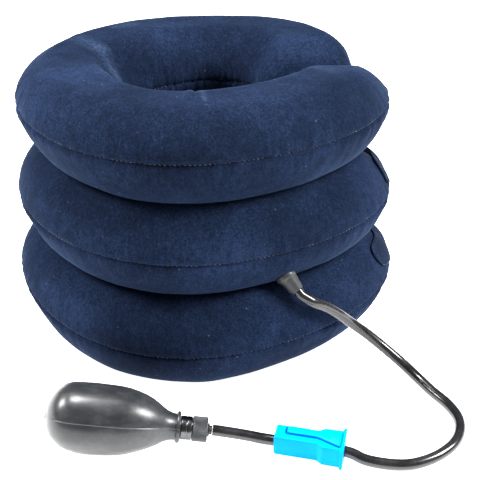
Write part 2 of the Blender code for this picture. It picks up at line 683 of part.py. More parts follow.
def hose_route():
    """The hose's axis from the strain relief to the pump's barb."""
    port_exit = port_point() + PORT_AXIS * (RELIEF_LENGTH + GAP)
    pump_direction = Vector((math.cos(PUMP_DIP), 0, -math.sin(PUMP_DIP)))
    pump_exit = PUMP_TAIL + pump_direction * (BARB[1] + GAP)
    clamp_run = CLAMP_RIGHT - CLAMP_LEFT
    through = [CLAMP_LEFT + clamp_run * share for share in (1.04, 0.5, -0.04)]
    route = [port_exit, port_exit + PORT_AXIS * HOSE_STRAIGHT]
    route += [Vector(point) * MM for point in ROUTE_DOWN]
    route += through
    route += [Vector(point) * MM for point in ROUTE_PUMP]
    route += [pump_exit + pump_direction * HOSE_STRAIGHT, pump_exit]
    return route


def build_hose():
    curve = bpy.data.curves.new("hose", "CURVE")
    curve.dimensions = "3D"
    curve.bevel_depth = HOSE_RADIUS
    curve.bevel_resolution = 3
    curve.use_fill_caps = True
    route = hose_route()
    points = [route[0], *smooth_path(route[1:-1], HOSE_SPACING), route[-1]]
    spline = curve.splines.new("POLY")
    spline.points.add(len(points) - 1)
    for slot, point in zip(spline.points, points):
        slot.co = (*point, 1.0)
    add_object("hose", curve, "hose_rubber")


def main():
    clear_scene()
    covers, bladders = build_collar()
    build_port(covers, bladders)
    build_pump()
    build_clamp()
    build_hose()


main()
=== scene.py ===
"""The looks of an inflatable neck traction collar and its hand pump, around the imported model.

Metres, +Z up.  The collar stands around the Z axis: +X runs towards the opening of the C, and
-Y towards the pump.  "across" runs from -1 at a tube's inner seam to 1 at its outer one.
"""
import math

import bmesh
import bpy
from mathutils import Matrix, Vector, noise


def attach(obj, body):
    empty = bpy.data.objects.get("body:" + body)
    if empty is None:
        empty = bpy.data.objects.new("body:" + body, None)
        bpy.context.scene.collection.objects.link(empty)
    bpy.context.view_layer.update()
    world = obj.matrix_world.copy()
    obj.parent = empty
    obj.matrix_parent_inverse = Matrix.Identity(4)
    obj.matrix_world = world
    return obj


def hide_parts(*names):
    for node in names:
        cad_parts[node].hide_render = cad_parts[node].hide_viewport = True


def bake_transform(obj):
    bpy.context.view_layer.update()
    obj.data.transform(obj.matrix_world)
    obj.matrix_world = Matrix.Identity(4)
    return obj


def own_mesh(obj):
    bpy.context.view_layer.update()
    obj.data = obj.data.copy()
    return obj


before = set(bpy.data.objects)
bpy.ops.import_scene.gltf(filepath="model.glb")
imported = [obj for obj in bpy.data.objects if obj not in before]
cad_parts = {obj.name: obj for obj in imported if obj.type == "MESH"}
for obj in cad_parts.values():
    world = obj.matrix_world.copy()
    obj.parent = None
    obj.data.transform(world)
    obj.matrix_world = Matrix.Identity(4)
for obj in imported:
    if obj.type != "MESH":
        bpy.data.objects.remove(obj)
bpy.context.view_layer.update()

MM = 0.001
UP = Vector((0, 0, 1))

# --- camera and light ---
CAMERA_AT = Vector((28.5, -743.8, 549.7)) * MM
LOOK_AT = Vector((28.55, 0.0, 42.96)) * MM
LENS = 80.4
LIGHTS_AIM = Vector((0, -0.05, 0.08))
FLOOR_SIZE = 30
FLOOR_GLOW = 1.03
SKY = 0.22

# --- the collar: the same shape as the CAD covers ---
PLAN_RADIUS = 142 * MM
PLAN_POWER = 1.89
PLAN_SKEW = 0.018
PLAN_RIPPLE = -0.013
TUBE_HALF_WIDTH = 41 * MM
CREST_FLATTENING = 1.09
CREST_POWER = 2.2
SEAM_CUSP = 0.55                # 0.5 is round at the seam; more draws the panels to an edge there
FRONT_END_CUSP = 0.10           # more still by the front arm's end
FRONT_END_REACH = 90 * MM
SEAM_GAP = 0.3 * MM
OPENING_ANGLE = math.radians(12)
OPENING_WIDTH = 3 * MM
BACK_ARM_TUCK = 13 * MM
TUCK_REACH = 110 * MM
INNER_SEAM_DROP = 11 * MM
END_ROUNDING = 36 * MM
END_ROUNDING_POWER = 2.3
BACK_END_FALL = 36 * MM
FRONT_END_FALL = 54 * MM
END_EDGE_SHARE = 0.35
# planes: height at y = 0 and slope; anchor: the height that stays when the tier deflates
TIERS = {
    "bottom": dict(low=(0.0, 0.0), seam=(36.0 * MM, -0.03), high=(69.5 * MM, -0.075),
                   stretch=(1.070, 1.02), shift_y=-5.0 * MM, body="base", anchor=0.0),
    "middle": dict(low=(69.5 * MM, -0.075), seam=(104.0 * MM, -0.100),
                   high=(141.5 * MM, -0.112), stretch=(1.035, 0.99), shift_y=-2.5 * MM,
                   body="lower_interface", anchor=87.6 * MM),
    "top": dict(low=(141.5 * MM, -0.112), seam=(180 * MM, -0.124), high=(210 * MM, -0.138),
                stretch=(0.995, 0.995), shift_y=0.0, body="upper_interface",
                anchor=141.5 * MM),
}
# start: from the back arm's end, below 0 on the front arm; centre: height, as a share of the
# tube's half height above its seam; slant: cut off its front corner; lift: off the cloth, in mm
STRAPS = {
    "bottom": dict(start=-56 * MM, length=116 * MM, centre=0.40, slant=0.42, lift=0.9),
    "middle": dict(start=-41 * MM, length=101 * MM, centre=0.40, slant=0.20, lift=0.9),
    "top": dict(start=-33 * MM, length=93 * MM, centre=-0.44, slant=0.25, lift=2.2),
}
STRAP_SLANT_REACH = 32 * MM     # its front corner on the seam's side is cut away over this length
STRAP_HALF_HEIGHT = 0.40        # share of the tube's half height
STRAP_THICKNESS = 1.1 * MM
STRAP_CROSSING = (-16 * MM, 12 * MM)    # where it bends in from one arm to the other
STRAP_BRIDGE = 20 * MM          # it bridges the arms' rounded ends over this length of each
PATCH_START = 10 * MM
PATCH_LENGTH = 60 * MM
PATCH_HALF_HEIGHT = 0.36
PATCH_THICKNESS = 0.9 * MM
PATCH_LIFT = 0.5 * MM
TAPE_STEP = 2.2 * MM
TAPE_ROWS_EACH = 9              # rows of points each side of a tape's middle
TAPE_CORNER = 7 * MM

# the cloth's relief, all in mm: at the seam, a roll beside it, puckers, folds at the ends
GROOVE_DEPTH, GROOVE_REACH = 2.0, 1.6
ROLL_HEIGHT, ROLL_FROM_SEAM, ROLL_REACH = 0.35, 4.5, 2.2
PUCKER_HEIGHT, PUCKER_FADE = 1.5, 13.0
END_FOLD_HEIGHT, END_FOLD_FADE = 0.9, 16.0
PINCH_HEIGHT, PINCH_REACH = 0.9, 4.5    # the seam drawn out to an edge by the front arm's end
SWELL_FROM_SEAM = 12.0          # slow waves reach their full height here
# where a panel is blown up more or less: tier, side, angle round the neck, reach, height
SWELLS = (("top", 1, 28, 14, 2.0), ("top", 1, 348, 13, -1.6), ("middle", 1, 350, 15, -1.4),
          ("all", 1, 200, 30, -0.6), ("all", -1, 202, 28, -1.3), ("bottom", -1, 308, 27, -2.0))

# painted highlights on the top tier's velour, along its front crease, its inner ridge and a few
# other places: a line seen from above and its width in mm, strength
PAINTED_HIGHLIGHT_ABOVE = 155 * MM
PAINTED_HIGHLIGHTS = (((-1.0, -62), (3.0, -84), 3.0, 0.42), ((3.0, -84), (5.5, -104), 3.0, 0.30),
           ((-9.0, -60), (-5.0, -79), 8.0, 0.32), ((-98, 44), (-80, 22), 11.0, 0.30),
           ((-80, 22), (-66, -1), 11.0, 0.34), ((-66, -1), (-56, -20), 9.0, 0.32),
           ((-70, 76), (-60, 80), 10.0, 0.28), ((95, -34), (84, -24), 12.0, 0.22))

FLOOR_GAP = 0.2 * MM
PANEL_COLUMNS = 360
PANEL_ROWS = 26
STITCH_LENGTH = 2.2 * MM
SEAM_FOLD = 3 * MM              # the edge that is turned in behind the seam
CLOTH = 1.1 * MM
BLADDER_INSET = 4 * MM
BLADDER_SIDES = 28

# --- the hose port, the pump and the clamp: places on the CAD parts ---
PORT_ANGLE = math.radians(-61.5)
PORT_ACROSS = 0.74
PORT_AXIS = Vector((0.62, -0.42, -0.66)).normalized()
RELIEF_LENGTH = 14 * MM
PUMP_TAIL = Vector((-108.5, -195.5, 29.5)) * MM
PUMP_DIP = math.radians(7.4)
PUMP_DIRECTION = Vector((math.cos(PUMP_DIP), 0, -math.sin(PUMP_DIP)))
PUMP_EXIT = 118.5 * MM
CLAMP_LEFT = Vector((52.6, -198.0, 7.0)) * MM
CLAMP_RIGHT = Vector((101.4, -208.9, 7.0)) * MM
CLAMP_FLOOR = 0.15 * MM

# --- the hose ---
HOSE_RADIUS = 4.0 * MM
HOSE_STRAIGHT = 4 * MM
HOSE_SIDES = 32
# places on its axis in mm: from the port to the clamp, and from the clamp to the pump
ROUTE_DOWN = ((82.0, -120.6, 70.3), (92.5, -116.0, 62.0), (102.5, -112.0, 52.5),
              (113.0, -108.5, 41.0), (126.0, -108.0, 29.5), (140.5, -112.0, 18.0),
              (152.5, -119.0, 10.2), (162.8, -129.8, 5.8), (172.0, -143.5, 4.3),
              (182.0, -158.5, 4.2), (187.2, -173.0, 4.2), (185.8, -187.0, 4.2),
              (179.0, -199.5, 4.2), (167.2, -209.8, 4.2), (155.0, -216.0, 4.2),
              (143.0, -218.8, 4.2), (129.0, -217.8, 4.2), (115.0, -214.4, 4.9))
ROUTE_PUMP = ((42.0, -196.2, 7.6), (31.0, -195.9, 10.2))


# --- general helpers ---
def link(name, data):
    made = bpy.data.objects.new(name, data)
    bpy.context.scene.collection.objects.link(made)
    return made


def finish_mesh(name, bm, material, smooth_angle=40, face_outward=False):
    """Turn a bmesh into an object, smooth except at its sharp edges."""
    if face_outward:
        bmesh.ops.recalc_face_normals(bm, faces=bm.faces)
    mesh = bpy.data.meshes.new(name)
    bm.normal_update()
    bm.to_mesh(mesh)
    bm.free()
    mesh.shade_smooth()
    mesh.set_sharp_from_angle(angle=math.radians(smooth_angle))
    mesh.materials.append(material)
    return link(name, mesh)


def grid_faces(bm, rows, flip=False, close_rows=False, close_columns=False):
    """Quads between neighbouring rows of vertices."""
    ahead = rows[1:] + (rows[:1] if close_rows else [])
    for row, following in zip(rows, ahead):
        count = len(row) if close_columns else len(row) - 1
        for step in range(count):
            after = (step + 1) % len(row)
            corners = [row[step], row[after], following[after], following[step]]
            bm.faces.new(corners[::-1] if flip else corners)


def skin_faces(bm, rings, closed_path=False):
    """A skin through closed rings of points, with flat caps unless the path is closed."""
    rows = [[bm.verts.new(point) for point in ring] for ring in rings]
    grid_faces(bm, rows, close_rows=closed_path, close_columns=True)
    if not closed_path:
        bm.faces.new(rows[0][::-1])
        bm.faces.new(rows[-1])


def lofted(name, rings, material, smooth_angle=40, closed_path=False):
    bm = bmesh.new()
    skin_faces(bm, rings, closed_path)
    return finish_mesh(name, bm, material, smooth_angle, face_outward=True)


def axis_frame(origin, direction, up=UP):
    """Matrix whose X axis runs along a direction and whose Z axis leans towards up."""
    x_axis = direction.normalized()
    y_axis = up.cross(x_axis).normalized()
    turn = Matrix((x_axis, y_axis, x_axis.cross(y_axis))).transposed().to_4x4()
    return Matrix.Translation(origin) @ turn


def around_x(along, radius, turn):
    """A point round the X axis, from its distance along it and its radius in mm."""
    return Vector((along, radius * math.cos(turn), radius * math.sin(turn))) * MM


def turned(name, profile, material, steps=96, radius_at=None, smooth_angle=40):
    """Turn a closed profile of (distance along X, radius) in mm around the X axis."""
    rings = []
    for step in range(steps):
        turn = 2 * math.pi * step / steps
        rings.append([around_x(along, radius_at(along, radius, turn) if radius_at else radius, turn)
                      for along, radius in profile])
    return lofted(name, rings, material, smooth_angle, closed_path=True)


def rounded_profile(corners, radius, steps=3):
    """Round the corners of a closed profile, each given as (along, radius)."""
    rounded = []
    count = len(corners)
    for index, corner in enumerate(corners):
        here = Vector((*corner, 0))
        before = Vector((*corners[index - 1], 0)) - here
        after = Vector((*corners[(index + 1) % count], 0)) - here
        reach = min(radius, before.length * 0.45, after.length * 0.45)
        start = here + before.normalized() * reach
        end = here + after.normalized() * reach
        for step in range(steps + 1):
            t = step / steps
            point = start * (1 - t) ** 2 + here * (2 * t * (1 - t)) + end * t ** 2
            rounded.append((point.x, point.y))
    return rounded


def smooth_path(points, spacing):
    """Points at even spacing on a Catmull-Rom curve through the given points."""
    ends = [2 * points[0] - points[1], *points, 2 * points[-1] - points[-2]]
    fine = []
    for a, b, c, d in zip(ends, ends[1:], ends[2:], ends[3:]):
        for step in range(12):
            t = step / 12
            fine.append(0.5 * (2 * b + (c - a) * t + (2 * a - 5 * b + 4 * c - d) * t * t
                               + (3 * b - a - 3 * c + d) * t ** 3))
    fine.append(points[-1])
    total = length_of(fine)
    count = round(total / spacing)
    path, travelled, wanted = [fine[0]], 0.0, total / count
    for p, q in zip(fine, fine[1:]):
        step = (q - p).length
        while len(path) < count and travelled + step >= wanted * len(path):
            path.append(p.lerp(q, (wanted * len(path) - travelled) / step))
        travelled += step
    path.append(fine[-1])
    return path


def sheet(name, rows, material, smooth_angle, flip):
    bm = bmesh.new()
    grid_faces(bm, [[bm.verts.new(point) for point in row] for row in rows], flip)
    return finish_mesh(name, bm, material, smooth_angle)


def length_of(line):
    return sum((q - p).length for p, q in zip(line, line[1:]))


def flat_direction(vector):
    """The direction of a vector seen from above."""
    return Vector((*vector.xy, 0)).normalized()


def bump_curve(distance, reach):
    """A soft bump: 1 at distance 0, near 0 beyond about twice the reach."""
    return math.exp(-(distance / reach) ** 2)


def clamped(share):
    return max(0.0, min(1.0, share))


def eased(share):
    """A share held between 0 and 1, with a soft start and end."""
    share = clamped(share)
    return share * share * (3 - 2 * share)


# --- materials: a small kit for shader nodes ---
class Shader:
    """Builds one procedural material."""

    def __init__(self, name, **settings):
        self.material = bpy.data.materials.new(name)
        self.material.use_nodes = True
        self.tree = self.material.node_tree
        self.place = self.add("ShaderNodeTexCoord").outputs["Object"]
        self.surface(**settings)

    def surface(self, **inputs):
        self.fill(self.tree.nodes["Principled BSDF"], inputs)

    def add(self, kind, **inputs):
        node = self.tree.nodes.new(kind)
        self.fill(node, inputs)
        return node

    def fill(self, node, inputs):
        for key, value in inputs.items():
            self.feed(node.inputs[key.replace("_", " ")], value)

    def feed(self, socket, value):
        if isinstance(value, bpy.types.NodeSocket):
            self.tree.links.new(value, socket)
        else:
            socket.default_value = value

    def noise(self, scale, detail, roughness, stretch=None):
        place = self.place
        if stretch:
            place = self.add("ShaderNodeMapping", Vector=place, Scale=stretch).outputs["Vector"]
        node = self.add("ShaderNodeTexNoise", Vector=place, Scale=scale, Detail=detail,
                        Roughness=roughness)
        return node.outputs["Fac"]

    def math(self, operation, a, b):
        node = self.tree.nodes.new("ShaderNodeMath")
        node.operation = operation
        self.feed(node.inputs[0], a)
        self.feed(node.inputs[1], b)
        return node.outputs[0]

    def times(self, a, b):
        return self.math("MULTIPLY", a, b)

    def blended(self, a, b, share):
        """A share of b over a, for single values."""
        return self.math("ADD", self.times(a, 1 - share), self.times(b, share))

    def ramp(self, value, *stops):
        """Colours along a value, each stop being (position, colour)."""
        node = self.add("ShaderNodeValToRGB", Fac=value)
        elements = node.color_ramp.elements
        while len(elements) < len(stops):
            elements.new(0.5)
        for element, (position, colour) in zip(elements, stops):
            element.position = position
            element.color = (*colour, 1)
        return node.outputs["Color"]

    def grey_ramp(self, value, low, high, from_value=0.0, to_value=1.0):
        """Rescale a value from one pair of limits to another, and hold it there."""
        node = self.add("ShaderNodeMapRange", Value=value, From_Min=low, From_Max=high,
                        To_Min=from_value, To_Max=to_value)
        return node.outputs["Result"]

    def mix(self, share, a, b):
        """A share of colour b over colour a."""
        node = self.tree.nodes.new("ShaderNodeMix")
        node.data_type = "RGBA"
        self.feed(node.inputs[0], share)
        self.feed(node.inputs[6], a)
        self.feed(node.inputs[7], b)
        return node.outputs[2]

    def bump(self, height, strength, distance, below=None):
        node = self.add("ShaderNodeBump", Height=height, Strength=strength, Distance=distance)
        if below:
            self.feed(node.inputs["Normal"], below)
        return node.outputs["Normal"]

    def vector(self, operation, a, b, output="Vector"):
        node = self.tree.nodes.new("ShaderNodeVectorMath")
        node.operation = operation
        self.feed(node.inputs[0], a)
        self.feed(node.inputs["Scale" if operation == "SCALE" else 1], b)
        return node.outputs[output]

    def stroke(self, start, end, width):
        """1 along a line seen from above, fading out over a width; places in mm."""
        start, end = (Vector((*place, 0)) * MM for place in (start, end))
        run = end - start
        offset = self.vector("MULTIPLY", self.vector("SUBTRACT", self.place, start), (1, 1, 0))
        share = self.vector("DOT_PRODUCT", offset, run / run.length_squared, "Value")
        nearest = self.vector("SCALE", run, self.grey_ramp(share, 0.0, 1.0))
        apart = self.vector("SUBTRACT", offset, nearest)
        distance = self.vector("LENGTH", apart, (0, 0, 0), "Value")
        return self.grey_ramp(distance, width * MM, 0.0)


def velour_material(name, shade=1.0):
    """Flocked velour: patchy nap that catches light at its edges, and a little lint."""
    made = Shader(name, Sheen_Weight=0.12, Sheen_Roughness=0.26, Sheen_Tint=(0.34, 0.56, 1.0, 1),
                  Specular_IOR_Level=0.02)
    patches = made.noise(13, 3, 0.55)
    mottle = made.noise(120, 5, 0.68)
    fibre = made.noise(760, 4, 0.75)
    strokes = made.noise(430, 4, 0.6, (1, 1, 0.10))
    nap = made.blended(made.blended(patches, mottle, 0.35), made.blended(strokes, fibre, 0.70),
                       0.58)
    tones = ((0.41, (0.0044, 0.0078, 0.0185)), (0.50, (0.0080, 0.0144, 0.0345)),
             (0.60, (0.0165, 0.0300, 0.0730)))
    cloth = made.ramp(nap, *((at, tuple(channel * shade for channel in tone))
                             for at, tone in tones))
    specks = made.add("ShaderNodeTexVoronoi", Vector=made.place, Scale=150.0)
    near = made.grey_ramp(specks.outputs["Distance"], 0.12, 0.04)
    split = made.add("ShaderNodeSeparateColor", Color=specks.outputs["Color"])
    chosen = made.math("GREATER_THAN", split.outputs["Red"], 0.90)
    lint = made.times(made.times(near, chosen), 0.5)
    cloth = made.mix(lint, cloth, (0.13, 0.17, 0.24, 1))
    height = made.add("ShaderNodeSeparateXYZ", Vector=made.place).outputs["Z"]
    on_top = made.math("GREATER_THAN", height, PAINTED_HIGHLIGHT_ABOVE)
    # painted highlight: a lighter velour colour is mixed in along each stroke on the top tier,
    # broken into streaks
    for start, end, width, strength in PAINTED_HIGHLIGHTS:
        highlight_streaks = made.grey_ramp(strokes, 0.30, 0.65, 0.0, strength)
        share = made.times(made.times(made.stroke(start, end, width), on_top), highlight_streaks)
        cloth = made.mix(share, cloth, (0.062, 0.100, 0.190, 1))
    made.surface(Base_Color=cloth)
    made.surface(Roughness=made.grey_ramp(mottle, 0.3, 0.7, 0.80, 0.96))
    coarse = made.bump(made.blended(mottle, strokes, 0.5), 0.30, 0.8 * MM)
    made.surface(Normal=made.bump(fibre, 0.55, 0.35 * MM, coarse))
    return made.material


def thread_material():
    made = Shader("seam_thread", Roughness=0.8, Sheen_Weight=0.2, Specular_IOR_Level=0.2)
    twist = made.noise(2600, 2, 0.5)
    fading = made.noise(150, 2, 0.5)
    made.surface(Base_Color=made.ramp(
        made.blended(twist, fading, 0.7), (0.42, (0.016, 0.020, 0.032)),
        (0.62, (0.120, 0.115, 0.115))))
    made.surface(Normal=made.bump(twist, 0.5, 0.15 * MM))
    return made.material


def loop_tape_material():
    """The loop side of hook-and-loop tape: a close field of small tufts."""
    made = Shader("loop_tape", Roughness=0.92, Sheen_Weight=0.25, Sheen_Roughness=0.5,
                  Sheen_Tint=(0.5, 0.6, 0.9, 1), Specular_IOR_Level=0.2)
    tufts = made.add("ShaderNodeTexVoronoi", Vector=made.place, Scale=1500.0)
    wear = made.noise(60, 4, 0.6)
    height = made.grey_ramp(tufts.outputs["Distance"], 0.0, 0.6, 1.0, 0.0)
    # painted shade: the gaps between the tufts darker and their tops lighter, mixed with random
    # wear
    made.surface(Base_Color=made.ramp(
        made.blended(height, wear, 0.45), (0.2, (0.006, 0.010, 0.026)),
        (0.8, (0.022, 0.034, 0.075))))
    made.surface(Normal=made.bump(height, 0.8, 0.5 * MM))
    return made.material


def bulb_material():
    """Grey moulded rubber, dusty and finger-marked, with softer and shinier patches."""
    made = Shader("bulb_rubber", Specular_IOR_Level=0.20, Coat_Weight=0.75, Coat_Roughness=0.27)
    cloud = made.noise(42, 5, 0.62)
    smudge = made.noise(130, 5, 0.7, (0.45, 1, 1))
    grain = made.noise(1500, 2, 0.6)
    made.surface(Base_Color=made.ramp(
        made.blended(cloud, smudge, 0.5), (0.34, (0.010, 0.011, 0.012)),
        (0.50, (0.022, 0.024, 0.026)), (0.66, (0.050, 0.054, 0.058))))
    made.surface(Roughness=made.grey_ramp(smudge, 0.3, 0.7, 0.30, 0.46))
    made.surface(Normal=made.bump(grain, 0.12, 0.15 * MM, made.bump(smudge, 0.08, 0.5 * MM)))
    return made.material


def hose_material():
    made = Shader("hose_rubber", Specular_IOR_Level=0.35, Coat_Weight=0.7, Coat_Roughness=0.06)
    haze = made.noise(70, 4, 0.6)
    scuffs = made.noise(900, 3, 0.7)
    made.surface(Base_Color=made.ramp(
        haze, (0.35, (0.006, 0.006, 0.007)), (0.7, (0.018, 0.018, 0.020))))
    made.surface(Roughness=made.grey_ramp(made.blended(haze, scuffs, 0.4), 0.35, 0.7, 0.18, 0.36))
    made.surface(Normal=made.bump(made.noise(160, 3, 0.5), 0.10, 0.6 * MM))
    return made.material


def plain_material(name, tone, tones, worn=None, grain=None, grain_bump=None, share=0.0,
                   **settings):
    """One uneven colour, worn to an uneven roughness, with a fine grain.

    tone, grain: settings of two noises; worn: roughness at the tone's limits, with a share of the
    grain in it; grain_bump: strength, and height in mm.
    """
    made = Shader(name, **settings)
    cloud = made.noise(*tone)
    fine = made.noise(*grain) if grain else None
    made.surface(Base_Color=made.ramp(cloud, *tones))
    if worn:
        wear = made.blended(cloud, fine, share) if share else cloud
        made.surface(Roughness=made.grey_ramp(wear, 0.3, 0.7, *worn))
    if grain_bump:
        strength, height = grain_bump
        made.surface(Normal=made.bump(fine, strength, height * MM))
    return made.material


def build_materials():
    return {
        "velour": velour_material("velour"), "strap": velour_material("strap_velour", 0.80),
        "thread": thread_material(), "loops": loop_tape_material(), "bulb": bulb_material(),
        "hose": hose_material(),
        "film": plain_material(
            "bladder_film", (45, 3, 0.5),
            ((0.3, (0.46, 0.47, 0.49)), (0.7, (0.62, 0.63, 0.64))),
            grain=(420, 3, 0.5), grain_bump=(0.2, 0.3), Roughness=0.35, Coat_Weight=0.2),
        "port": plain_material(
            "port_rubber", (160, 4, 0.6),
            ((0.35, (0.014, 0.015, 0.016)), (0.7, (0.036, 0.038, 0.040))),
            worn=(0.42, 0.60), grain=(1300, 2, 0.6), grain_bump=(0.2, 0.15),
            Specular_IOR_Level=0.45, Coat_Weight=0.15, Coat_Roughness=0.2),
        "metal": plain_material(        # its grain and the knob's are turning marks
            "valve_metal", (120, 4, 0.6),
            ((0.3, (0.080, 0.082, 0.086)), (0.7, (0.14, 0.14, 0.148))),
            worn=(0.16, 0.30), grain=(2300, 2, 0.5, (1, 0.015, 0.015)),
            grain_bump=(0.12, 0.08), share=0.5, Metallic=1.0),
        "knob": plain_material(
            "knob_metal", (150, 4, 0.6),
            ((0.3, (0.070, 0.073, 0.077)), (0.7, (0.115, 0.119, 0.124))),
            worn=(0.34, 0.50), grain=(1900, 2, 0.5, (1, 0.02, 0.02)),
            grain_bump=(0.15, 0.08), Metallic=0.9),
        "pale": plain_material(
            "pale_plastic", (220, 3, 0.5), ((0.3, (0.60, 0.60, 0.59)), (0.7, (0.74, 0.74, 0.73))),
            worn=(0.28, 0.40), Subsurface_Weight=0.25, Subsurface_Scale=0.002,
            Coat_Weight=0.2),
        "dark": plain_material(
            "dark_plastic", (300, 3, 0.6),
            ((0.3, (0.010, 0.010, 0.010)), (0.7, (0.028, 0.028, 0.028))),
            worn=(0.30, 0.45), Specular_IOR_Level=0.5),
        "clamp": plain_material(
            "clamp_plastic", (60, 3, 0.5, (0.5, 1, 1)),
            ((0.3, (0.0, 0.335, 0.84)), (0.7, (0.0, 0.385, 0.95))),
            worn=(0.30, 0.42), grain=(1100, 2, 0.5), grain_bump=(0.08, 0.1), share=0.4,
            Subsurface_Weight=0.10, Subsurface_Scale=0.003, Specular_IOR_Level=0.03),
    }


# --- the collar's shape ---
def centre_radius(angle):
    round_part = (abs(math.cos(angle)) ** PLAN_POWER + abs(math.sin(angle)) ** PLAN_POWER)
    wave = 1 + PLAN_SKEW * math.sin(2 * angle) + PLAN_RIPPLE * math.sin(4 * angle)
    return PLAN_RADIUS * wave * round_part ** (-1 / PLAN_POWER) - TUBE_HALF_WIDTH


ARM_TURN = 2 * math.pi * sum(centre_radius(math.radians(step)) for step in range(360)) / 360
ARM_LENGTH = ARM_TURN - OPENING_WIDTH


def arm_angle(along):
    half_opening = math.pi * OPENING_WIDTH / ARM_TURN
    return OPENING_ANGLE + half_opening + 2 * math.pi * along / ARM_TURN


def place_at(angle):
    """Distance along the C, from the back arm's end, at an angle round the neck axis."""
    return ARM_TURN * ((angle - arm_angle(0)) % (2 * math.pi)) / (2 * math.pi)


def crest_profile(across, cusp):
    """Share of a tube's half height, across it."""
    return min(1.0, CREST_FLATTENING * max(0.0, 1 - abs(across) ** CREST_POWER) ** cusp)


def rounding(distance, reach, power):
    """From 0 at an end to 1 a reach away, rounded as a superellipse is."""
    left = clamped(1 - distance / reach)
    return (1 - left ** power) ** (1 / power)


def plane_height(plane, y):
    return plane[0] + plane[1] * y


def front_end_share(along):
    """1 beside the front arm's end, 0 a reach away."""
    return eased(1 - (ARM_LENGTH - along) / FRONT_END_REACH)


def crossed_share(along):
    """0 where a strap lies on the front arm, 1 where it lies on the back arm."""
    start, end = STRAP_CROSSING
    return eased((along - start) / (end - start))


def back_arm_tuck(along):
    """How much nearer the neck the back arm lies."""
    return BACK_ARM_TUCK * max(0.0, 1 - along / TUCK_REACH) ** 2


def tier_point(tier, along, across, side, inset=0.0, closed_ends=True):
    """A point of a tier's skin: along the C, across the tube, side 1 above and -1 below.

    The shape is that of the CAD covers.  Without its closed ends the tube runs on across the
    opening, as a strap does.
    """
    shape = TIERS[tier]
    angle = arm_angle(along)
    if closed_ends:
        from_end = max(0.0, min(along, ARM_LENGTH - along) - inset)
        fall = BACK_END_FALL if along < ARM_LENGTH / 2 else FRONT_END_FALL
        tuck = back_arm_tuck(along)
    else:
        from_end = max(along, -along - OPENING_WIDTH, STRAP_BRIDGE)
        share = crossed_share(along)
        fall = BACK_END_FALL * share + FRONT_END_FALL * (1 - share)
        tuck = back_arm_tuck(along) * share
    rounded = rounding(from_end, END_ROUNDING, END_ROUNDING_POWER)
    half_width = (TUBE_HALF_WIDTH - inset) * (END_EDGE_SHARE + (1 - END_EDGE_SHARE) * rounded)
    radius = centre_radius(angle) - tuck + across * half_width
    x = shape["stretch"][0] * radius * math.cos(angle)
    y = shape["stretch"][1] * radius * math.sin(angle) + shape["shift_y"]
    seam = plane_height(shape["seam"], y) - INNER_SEAM_DROP * (1 - across) / 2
    crest = plane_height(shape["high" if side > 0 else "low"], y)
    height = abs(crest - seam) - SEAM_GAP - inset
    cusp = SEAM_CUSP + FRONT_END_CUSP * front_end_share(along)
    lift = height * crest_profile(across, cusp) * rounding(from_end, fall, 2.0)
    return Vector((x, y, seam + side * (SEAM_GAP / 2 + lift)))


def spread(first, last, count):
    """Even steps between the closer ones at both ends."""
    run = last[0] - first[-1]
    return first + [first[-1] + run * step / count for step in range(1, count)] + last


def panel_places():
    """Distances along the C, closer together at its ends."""
    first = [step * MM for step in (0.0, 0.4, 1.0, 2.0, 3.2, 4.8, 6.6, 8.8, 11.4, 14.2, 17.2,
                                    20.4, 23.6, 27.0, 30.4, 34.0)]
    return spread(first, [ARM_LENGTH - place for place in reversed(first)], PANEL_COLUMNS)


def panel_across():
    """Shares across the tube, closer together at its two seams."""
    first = [-math.pi / 2 + step for step in (0.0, 0.010, 0.024, 0.045, 0.075, 0.115)]
    turns = spread(first, [-turn for turn in reversed(first)], PANEL_ROWS)
    return [math.sin(turn) for turn in turns]


def creases(tier, along, across, side):
    """Height of the few folds that the top cover has in particular places, in mm."""
    if tier != "top" or side < 0:
        return 0.0
    angle = arm_angle(along) % (2 * math.pi)
    turn = math.degrees(angle)
    slanted = (turn - 267) * 1.83 + 1.5 * across        # mm along the front from the crease
    front = (bump_curve(across + 0.15, 0.45)
             * (1.2 * bump_curve(slanted + 2.0, 2.8) - 1.2 * bump_curve(slanted - 2.0, 2.0)))
    ridge_across = 0.39 - 1.39 * (1 - math.exp(-(turn - 152) / 14))
    ridge = 1.3 * bump_curve(turn - 172, 20) * bump_curve(across - ridge_across, 0.13)
    back = (1 - 1.8 * math.cos(4 * angle)) * max(0.0, math.sin(angle)) * (1 - across * across)
    return front + ridge + back


def panel_seed(tier, side):
    return 7.3 * list(TIERS).index(tier) + 3.1 * side


def billow(tier, side, point):
    """Slow waves of the cloth, and where it is blown up more or less, in mm."""
    seed = panel_seed(tier, side)
    waves = 0.9 * noise.noise(point * 17 + Vector((0, 0, seed)))
    waves += 0.35 * noise.noise(point * 48 + Vector((0, seed, 0)))
    turn = math.degrees(math.atan2(point.y, point.x))
    for on_tier, on_side, centre, reach, height in SWELLS:
        if on_tier in (tier, "all") and on_side == side:
            waves += height * bump_curve(math.remainder(turn - centre, 360), reach)
    return waves


